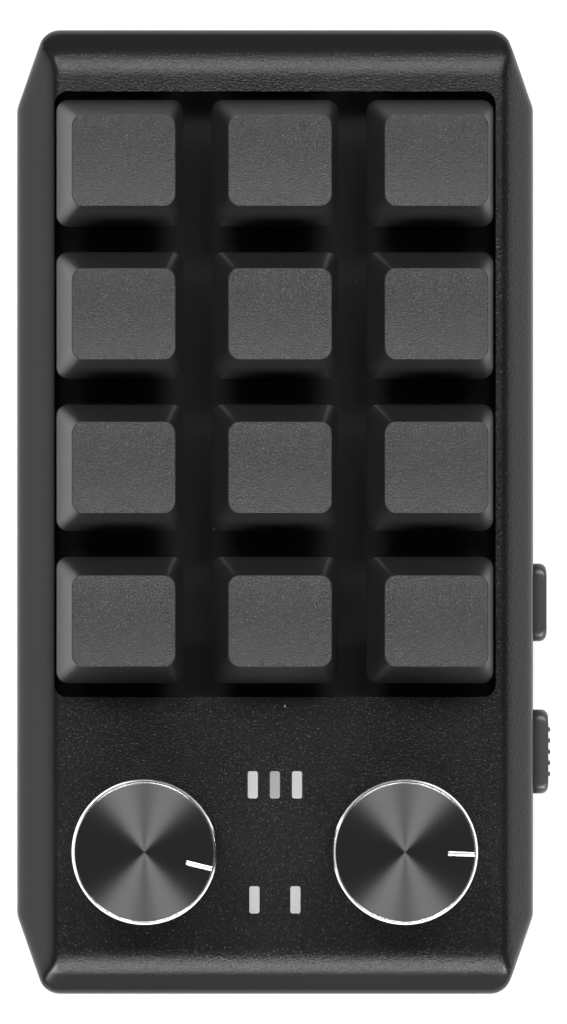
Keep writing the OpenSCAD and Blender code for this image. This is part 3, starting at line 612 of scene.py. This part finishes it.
def piece_from(bm, name, material, place=(0, 0, 0), smooth=True):
    """A finished mesh as an object at a place in metres."""
    bmesh.ops.recalc_face_normals(bm, faces=bm.faces)
    mesh = bpy.data.meshes.new(name)
    bm.to_mesh(mesh)
    bm.free()
    for face in mesh.polygons:
        face.use_smooth = smooth
    mesh.materials.append(material)
    piece = bpy.data.objects.new(name, mesh)
    piece.location = place
    bpy.context.scene.collection.objects.link(piece)
    return piece


# ---------- Case cover ----------

def smooth_most(distances, spread):
    """The largest of several distances; each goes over into the next across a spread in millimetres."""
    return spread * np.logaddexp.reduce(np.array(distances) / spread)


def to_segment(x, y, start, end):
    """Distance from places in the plan to a straight line between two points."""
    dx, dy = end[0] - start[0], end[1] - start[1]
    along = np.clip(((x - start[0]) * dx + (y - start[1]) * dy) / (dx * dx + dy * dy), 0, 1)
    return np.hypot(x - start[0] - along * dx, y - start[1] - along * dy)


def beyond_outline(x, y):
    """How far places in the plan lie outside the case's outline, with its cut and rounded corners."""
    x, y = np.abs(x), np.abs(y)
    a, b = CASE_W / 2 - CORNER_R, CASE_L / 2 - CORNER_R
    slant = math.hypot(CORNER_X, CORNER_Y)
    nx, ny = CORNER_Y / slant, CORNER_X / slant
    reach = nx * CASE_W / 2 + ny * (CASE_L / 2 - CORNER_Y) - CORNER_R
    side_end, cut_end = (a, (reach - nx * a) / ny), ((reach - ny * b) / nx, b)
    deepest = np.maximum(np.maximum(x - a, y - b), nx * x + ny * y - reach)
    nearest = np.minimum(to_segment(x, y, (a, 0), side_end), to_segment(x, y, side_end, cut_end))
    nearest = np.minimum(nearest, to_segment(x, y, cut_end, (0, b)))
    return np.where(deepest < 0, deepest, nearest) - CORNER_R


def above_top(y, z):
    """How far points lie above the deck, outside its rolled ends, or above the slope that follows them."""
    out, up = np.abs(y) - ROLL_Y, z - (DECK_Z - ROLL_R)
    past = np.maximum(np.arctan2(out, up) - math.radians(ROLL_SLOPE), 0)
    return np.where(out > 0, np.hypot(out, up) * np.cos(past), up) - ROLL_R


def outside_cover(points):
    """How far points lie outside the cover's skin, in millimetres."""
    x, y, z = points[:, 0] - CASE_X, points[:, 1], points[:, 2]
    wall = beyond_outline(x, y)
    flanks = [
        ((way * x - edge) * FLANK_DROP + (z - DECK_Z) * wide) / math.hypot(FLANK_DROP, wide)
        for way, edge, wide in FLANKS
    ]
    top = smooth_most([above_top(y, z)] + flanks, DECK_SOFT)
    return smooth_most([wall, top], RIM_SOFT)


def skin_of(bm):
    """The faces of the cover that can be seen from outside, with their edges and corners."""
    middles = np.array([f.calc_center_median() for f in bm.faces]) / MM
    normals = np.array([f.normal for f in bm.faces])
    facing = outside_cover(middles + normals * 0.1) - outside_cover(middles)
    depth = outside_cover(np.array([v.co for v in bm.verts]) / MM)
    bm.verts.index_update()
    near = [all(abs(depth[v.index]) < SKIN_DEPTH for v in f.verts) for f in bm.faces]
    faces = [f for f, close, out in zip(bm.faces, near, facing) if close and out > 0.05]
    return list({e for f in faces for e in f.edges} | {v for f in faces for v in f.verts}) + faces


def press_skin(verts):
    """Moves the skin's corners, away from the middle of the case, until they lie on the cover's form."""
    points = np.array([v.co for v in verts]) / MM
    heart = np.column_stack([
        np.clip(points[:, 0], CASE_X - HEART_X, CASE_X + HEART_X), np.clip(points[:, 1], -HEART_Y, HEART_Y),
        np.minimum(points[:, 2], HEART_Z),
    ])
    low, high = np.full(len(points), PRESS_FROM), np.full(len(points), PRESS_TO)
    for _ in range(PRESS_ROUNDS):
        middle = (low + high) / 2
        outside = outside_cover(heart + (points - heart) * middle[:, None]) > 0
        high, low = np.where(outside, middle, high), np.where(outside, low, middle)
    for v, place in zip(verts, heart + (points - heart) * low[:, None]):
        v.co = Vector(place) * MM


def places(low, high):
    return [low + SKIN_STEP * k for k in range(1 + int((high - low) / SKIN_STEP))]


def make_cover():
    """The top shell, with the soft rim of a moulding where the walls, the flanks and the ends meet."""
    bm = bmesh.new()
    bm.from_mesh(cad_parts["top_shell"].data)
    bmesh.ops.remove_doubles(bm, verts=bm.verts, dist=WELD_GAP)
    bmesh.ops.dissolve_limit(bm, angle_limit=math.radians(FLAT_ANGLE), verts=bm.verts, edges=bm.edges)
    skin = skin_of(bm)
    sides = [CASE_X + way * x for x in places(HEART_X, CASE_W / 2) for way in (-1, 1)]
    ends = [way * y for y in places(CASE_L / 2 - CORNER_Y - SKIN_STARTS, CASE_L / 2) for way in (-1, 1)]
    for axis, cuts in ((0, sides), (1, ends), (2, places(HEART_Z, DECK_Z - 0.2))):
        for place in cuts:
            point, normal = Vector(), Vector()
            point[axis], normal[axis] = place * MM, 1
            skin = bmesh.ops.bisect_plane(
                bm, geom=skin, plane_co=point, plane_no=normal, dist=CUT_GAP)["geom"]
    press_skin([item for item in skin if isinstance(item, bmesh.types.BMVert)])
    cover = piece_from(bm, "case_cover", CASE)
    round_edges(cover, POCKET_EDGE_R, POCKET_EDGE_ANGLE)
    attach(cover, "root")
    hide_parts("top_shell")


# ---------- Side controls ----------

def control_ring(bm, x, middle, half_l, inset_l, inset_h):
    """The outline of a control, round at both ends, at a distance from the case's middle."""
    half_h = CONTROL_H / 2 - inset_h
    ring = rounded_ring(half_l - inset_l, half_h, half_h, 0)
    return add_ring(bm, [(x, middle + a, CONTROL_Z + b) for a, b, _ in ring])


def control_block(bm, middle, length, face):
    """The block that stands out of the wall, with rounded outer corners and a softened edge."""
    rings = [control_ring(bm, CONTROL_X, middle, length / 2, 0, 0)]
    for depth in CONTROL_DEPTHS:
        corner = CONTROL_CORNER - math.sqrt(CONTROL_CORNER ** 2 - (CONTROL_CORNER - depth) ** 2)
        edge = max(CONTROL_EDGE - depth, 0)
        soft = CONTROL_EDGE - math.sqrt(CONTROL_EDGE ** 2 - edge ** 2)
        rings.append(control_ring(bm, face - depth, middle, length / 2, corner, soft))
    stack(bm, rings)
    bm.faces.new(rings[0])
    bm.faces.new(rings[-1])


def grip_rib(bm, middle, face):
    """One rib of the slider's grip."""
    wide, high = RIB_W / 2, CONTROL_H / 2 - RIB_INSET
    rings = []
    for out, inset in ((-0.1, 0.0), (RIB_OUT - 0.1, 0.0), (RIB_OUT - 0.03, 0.03), (RIB_OUT, 0.1)):
        ring = rounded_ring(wide - inset, high - inset, 0.2, 0, arc=3, side=2)
        rings.append(add_ring(bm, [(face + out, middle + a, CONTROL_Z + b) for a, b, _ in ring]))
    stack(bm, rings)
    bm.faces.new(rings[0])
    bm.faces.new(rings[-1])


def make_control(name, length, face, ribs=0):
    """A side control: the frame's own flange and inner parts, with a softer block outside the wall."""
    bm = bmesh.new()
    bm.from_mesh(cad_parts[name].data)
    bmesh.ops.remove_doubles(bm, verts=bm.verts, dist=WELD_GAP)
    everything = bm.verts[:] + bm.edges[:] + bm.faces[:]
    cut = bmesh.ops.bisect_plane(
        bm, geom=everything, plane_co=(CONTROL_X * MM, 0, 0), plane_no=(1, 0, 0), clear_outer=True,
    )["geom_cut"]
    bmesh.ops.holes_fill(bm, edges=[item for item in cut if isinstance(item, bmesh.types.BMEdge)])
    low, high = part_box(name)
    middle = (low.y + high.y) / 2 / MM
    control_block(bm, middle, length, face)
    for k in range(ribs):
        grip_rib(bm, middle + (k - (ribs - 1) / 2) * RIB_PITCH, face)
    control = piece_from(bm, name + "_moulding", CONTROL)
    even_shading(control)
    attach(control, name)
    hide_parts(name)


# ---------- Keycaps ----------

def dish(y):
    """Height of a keycap's top face above its rim: the dish runs along X."""
    deepest = CAP_H - CAP_TOP_Y ** 2 / 8 / CAP_DISH_R
    y = min(abs(y), CAP_TOP_Y / 2)
    return deepest + CAP_DISH_R - math.sqrt(CAP_DISH_R ** 2 - y ** 2)


def cap_outside(bm):
    """Rim, four sloped sides, a rolled edge and the dished top; returns the lowest ring."""
    half = CAP_W / 2
    foot = add_ring(bm, rounded_ring(half - 0.12, half - 0.12, CAP_R - 0.12, 0))
    rings = [foot, add_ring(bm, rounded_ring(half, half, CAP_R, 0.12))]
    top_x, top_y = CAP_TOP_X / 2, CAP_TOP_Y / 2
    brow = rounded_ring(top_x, top_y, CAP_R, lambda y: dish(y) - CAP_EDGE_R, CAP_LEAN)
    shoulder = rounded_ring(half, half, CAP_R, CAP_RIM)
    for t in (0.0, 0.04, 0.25, 0.5, 0.75, 0.96, 1.0):
        rings.append(add_ring(bm, [Vector(a).lerp(Vector(b), t) for a, b in zip(shoulder, brow)]))
    for step in range(1, 5):
        a = math.radians(90 * step / 4)
        inset, drop = CAP_EDGE_R * (1 - math.cos(a)), CAP_EDGE_R * (1 - math.sin(a))
        rings.append(add_ring(bm, rounded_ring(
            top_x - inset, top_y - inset, CAP_R - inset, lambda y, d=drop: dish(y) - d, CAP_LEAN)))
    for inset in (0.3, 0.8, 1.6, 2.6, 3.7, 4.8, 5.8):
        rings.append(add_ring(bm, rounded_ring(
            top_x - inset, top_y - inset, CAP_R - inset * 0.25, dish, CAP_LEAN)))
    stack(bm, rings)
    bm.faces.new(rings[-1])
    return foot


def cap_inside(bm, foot):
    """The hollow under the top, inside the walls."""
    half = CAP_W / 2 - CAP_WALL
    roof_z = CAP_H - CAP_ROOF
    mouth = add_ring(bm, rounded_ring(half, half, 0.6, 0))
    roof = add_ring(bm, rounded_ring(
        CAP_TOP_X / 2 - CAP_WALL, CAP_TOP_Y / 2 - CAP_WALL, 0.6, roof_z, CAP_LEAN))
    bridge(bm, mouth, foot)
    bridge(bm, roof, mouth)
    bm.faces.new(reversed(roof))


def cap_socket(bm):
    """The round post with a cross-shaped hole that the stem fits."""
    r, steps = SOCKET_D / 2, SOCKET_STEPS
    low = turned_ring(bm, r, SOCKET_Z, steps)
    high = turned_ring(bm, r, CAP_H - CAP_ROOF + 0.1, steps)
    bridge(bm, low, high)
    a, b = CROSS_L / 2, CROSS_W / 2
    quarter = [(a, -b), (a, b), (b, b)]
    cross = [
        (x * c - y * s, x * s + y * c)
        for c, s in ((1, 0), (0, 1), (-1, 0), (0, -1))
        for x, y in quarter
    ]
    mouth = add_ring(bm, [(x, y, SOCKET_Z) for x, y in cross])
    end = add_ring(bm, [(x, y, SOCKET_Z + SOCKET_DEPTH) for x, y in cross])
    bridge(bm, mouth, end)
    bm.faces.new(end)
    edges = [bm.edges.get((a, b)) for ring in (low, mouth) for a, b in zip(ring, ring[1:] + ring[:1])]
    bmesh.ops.triangle_fill(bm, use_beauty=True, edges=edges)


def keycap_mesh():
    bm = bmesh.new()
    foot = cap_outside(bm)
    cap_inside(bm, foot)
    cap_socket(bm)
    return bm


def make_keycaps():
    first = None
    for key in KEYS:
        node = "keycap_" + key
        low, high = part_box(node)
        place = ((low.x + high.x) / 2, (low.y + high.y) / 2, low.z)
        if first is None:
            first = piece_from(keycap_mesh(), "cap_" + key, CAP, place)
            cap = first
        else:
            cap = bpy.data.objects.new("cap_" + key, first.data)
            cap.location = place
            bpy.context.scene.collection.objects.link(cap)
        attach(cap, "key_" + key)
        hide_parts(node)


# ---------- Knobs ----------

def knob_body_mesh():
    """Fluted side, plain band under the rim, hollow underside, hub and bore."""
    bm = bmesh.new()
    steps = FLUTES * len(FLUTE_WAVE)

    def fluted(r, z, depth):
        radii = [r - depth * FLUTE_WAVE[k % len(FLUTE_WAVE)] for k in range(steps)]
        turns = [2 * math.pi * k / steps for k in range(steps)]
        return add_ring(bm, [(r * math.cos(a), r * math.sin(a), z) for r, a in zip(radii, turns)])

    outer = KNOB_R - FLUTE_INSET
    band = KNOB_H - KNOB_HEAD
    rings = [
        turned_ring(bm, outer - 0.5, 0.0, steps), turned_ring(bm, outer - 0.32, 0.05, steps),
        fluted(outer, 0.4, FLUTE_DEPTH), fluted(outer, band - 0.15, FLUTE_DEPTH),
        turned_ring(bm, outer - 0.12, band - 0.02, steps), turned_ring(bm, KNOB_R - 0.04, band, steps),
        turned_ring(bm, KNOB_R, band + 0.06, steps), turned_ring(bm, KNOB_R, KNOB_H - RIM_H, steps),
        turned_ring(bm, KNOB_R - 0.3, KNOB_H - RIM_H - 0.01, steps),
    ]
    stack(bm, rings)
    bm.faces.new(rings[-1])
    inner = [
        turned_ring(bm, KNOB_R - KNOB_WALL, 0.0, steps),
        turned_ring(bm, KNOB_R - KNOB_WALL, KNOB_H - KNOB_ROOF, steps),
        turned_ring(bm, KNOB_HUB_R, KNOB_H - KNOB_ROOF, steps), turned_ring(bm, KNOB_HUB_R, 0.0, steps),
        turned_ring(bm, KNOB_BORE_R, 0.0, steps), turned_ring(bm, KNOB_BORE_R, KNOB_BORE_H, steps),
    ]
    bridge(bm, inner[0], rings[0])
    stack(bm, inner)
    bm.faces.new(inner[-1])
    return bm


def knob_face_mesh():
    """The spun disc, with the fine steps that the tool leaves."""
    bm = bmesh.new()
    steps = FACE_STEPS
    level = KNOB_H - KNOB_SINK
    outer = KNOB_R - KNOB_BEVEL - 0.05
    rings = []
    for k in range(FACE_TURNS):
        r = outer * (1 - k / FACE_TURNS)
        rings.append(turned_ring(bm, r, level - (TOOL_MARK if k % 2 else 0.0), steps))
    stack(bm, rings)
    centre = bm.verts.new((0, 0, level * MM))
    last = rings[-1]
    for i in range(steps):
        bm.faces.new((last[i], last[(i + 1) % steps], centre))
    skirt = turned_ring(bm, outer, level - 0.3, steps)
    bridge(bm, skirt, rings[0])
    return bm


def knob_rim_mesh():
    """The diamond-cut bevel: a thin bright ring round the face."""
    bm = bmesh.new()
    steps = RIM_STEPS
    top, out = KNOB_H, KNOB_R
    low = top - RIM_H
    profile = [
        (out - 0.3, low - 0.05), (out, low), (out - 0.01, low + 0.02),
        (out - KNOB_BEVEL + 0.01, top - 0.01), (out - KNOB_BEVEL - 0.01, top),
        (out - KNOB_BEVEL - 0.05, top - KNOB_SINK), (out - KNOB_BEVEL - 0.07, top - 0.35),
    ]
    rings = [turned_ring(bm, r, z, steps) for r, z in profile]
    stack(bm, rings + rings[:1])
    return bm


def pointer_mesh():
    """The pointer line, cut through the face out to the rim: two bright edges with a valley between."""
    bm = bmesh.new()
    level = KNOB_H - KNOB_SINK + 0.03
    inner, outer, half = KNOB_R - POINTER_L, KNOB_R - KNOB_BEVEL + 0.02, POINTER_W / 2
    section = [
        (-half, level - 0.2), (-half, level - 0.02), (-half + 0.05, level), (-0.12, level - 0.01),
        (0, level - 0.05),
        (0.12, level - 0.01), (half - 0.05, level), (half, level - 0.02), (half, level - 0.2),
    ]
    tip = [(y * 0.85, min(z, level - 0.03)) for y, z in section]
    ends = [
        add_ring(bm, [(x, y, z) for y, z in line])
        for x, line in ((inner, tip), (inner + 0.06, section), (outer, section))
    ]
    for a, b in zip(ends, ends[1:]):
        for i in range(len(section) - 1):
            bm.faces.new((a[i], b[i], b[i + 1], a[i + 1]))
    bm.faces.new(ends[0])
    bm.faces.new(reversed(ends[-1]))
    return bm


def make_knobs():
    for side in SIDES:
        low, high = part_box(side + "_encoder_body")
        place = ((low.x + high.x) / 2, (low.y + high.y) / 2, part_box(side + "_knob")[0].z)
        body = piece_from(knob_body_mesh(), side + "_knob_body", KNURL, place)
        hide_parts(side + "_knob")
        parts = [
            body,
            piece_from(knob_face_mesh(), side + "_knob_face", SPUN, place),
            piece_from(knob_rim_mesh(), side + "_knob_rim", RIM, place),
            piece_from(pointer_mesh(), side + "_knob_pointer", POINTER, place, smooth=False),
        ]
        even_shading(parts[2])
        for part in parts:
            part.rotation_euler.z = math.radians(POINTER_ANGLE[side])
            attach(part, side + "_knob")


# ---------- Floor, light and camera ----------

def make_floor():
    bm = bmesh.new()
    corners = ((-1, -1), (1, -1), (1, 1), (-1, 1))
    bm.faces.new([bm.verts.new((x * FLOOR_HALF, y * FLOOR_HALF, 0)) for x, y in corners])
    floor = piece_from(bm, "white_sheet_floor", paper_floor(), smooth=False)


def softbox(name, direction, distance, width, length, radiance):
    """A square lamp that looks at the keypad from a direction, with the brightness of its face given."""
    data = bpy.data.lights.new(name, "AREA")
    data.shape = "RECTANGLE"
    data.size, data.size_y = width, length
    data.energy = radiance * math.pi * width * length
    lamp = bpy.data.objects.new(name, data)
    lamp.location = Vector(direction).normalized() * distance
    lamp.rotation_euler = Vector(direction).to_track_quat("Z", "Y").to_euler()
    lamp.visible_camera = False
    bpy.context.scene.collection.objects.link(lamp)


def from_zenith(degrees, azimuth):
    """A direction that many degrees off straight up, towards an azimuth counted from +X."""
    a, b = math.radians(degrees), math.radians(azimuth)
    return (math.sin(a) * math.cos(b), math.sin(a) * math.sin(b), math.cos(a))


def make_light():
    for side, turn in (("left", 1), ("right", -1)):
        far = from_zenith(FAR_TILT, 90 + turn * FAR_SPREAD)
        near = from_zenith(NEAR_TILT, -90 - turn * NEAR_SPREAD)
        softbox(f"far_{side}_softbox", far, *END_LAMP, FAR_GLOW)
        softbox(f"near_{side}_softbox", near, *END_LAMP, NEAR_GLOW)
    softbox("left_softbox", from_zenith(LEFT_TILT, 180), *LEFT_LAMP, LEFT_GLOW)
    make_studio()


def make_studio():
    """The room: pale low down at the sides, darker low down at the ends, and dark overhead."""
    world = bpy.data.worlds.new("studio")
    world.use_nodes = True
    bpy.context.scene.world = world
    tree = world.node_tree
    place = tree.nodes.new("ShaderNodeTexCoord")
    split = tree.nodes.new("ShaderNodeSeparateXYZ")
    tree.links.new(place.outputs["Generated"], split.inputs[0])
    ramp = tree.nodes.new("ShaderNodeValToRGB")
    ramp.color_ramp.interpolation = "EASE"
    for element, height, level in zip(ramp.color_ramp.elements, GLOW_HEIGHTS, (1, 0)):
        element.position = height
        element.color = (level, level, level, 1)
    tree.links.new(split.outputs[2], ramp.inputs[0])
    sideways = math_node(tree, "MULTIPLY", split.outputs[0], split.outputs[0])
    endways = math_node(tree, "MULTIPLY", split.outputs[1], split.outputs[1])
    low = math_node(tree, "ADD", math_node(tree, "MULTIPLY", sideways, SIDE_GLOW),
                    math_node(tree, "MULTIPLY", endways, END_GLOW))
    glow = math_node(tree, "ADD", math_node(tree, "MULTIPLY", low, ramp.outputs[0]), ROOF_GLOW)
    tree.links.new(glow, tree.nodes["Background"].inputs["Strength"])


def make_camera():
    data = bpy.data.cameras.new("above")
    data.sensor_fit = "VERTICAL"
    data.sensor_height = SENSOR_H
    data.lens = FOCAL_PX / FRAME_H_PX * SENSOR_H
    data.clip_start = 0.05
    camera = bpy.data.objects.new("above", data)
    camera.location = (0, 0, CAMERA_H)
    bpy.context.scene.collection.objects.link(camera)
    bpy.context.scene.camera = camera


bpy.context.scene.view_settings.view_transform = "Standard"
make_camera()
make_light()
make_floor()
dress_cad_nodes()
make_cover()
make_control("side_button", BUTTON_L, BUTTON_FACE)
make_control("power_slider", SLIDER_L, SLIDER_FACE, RIBS)
make_keycaps()
make_knobs()
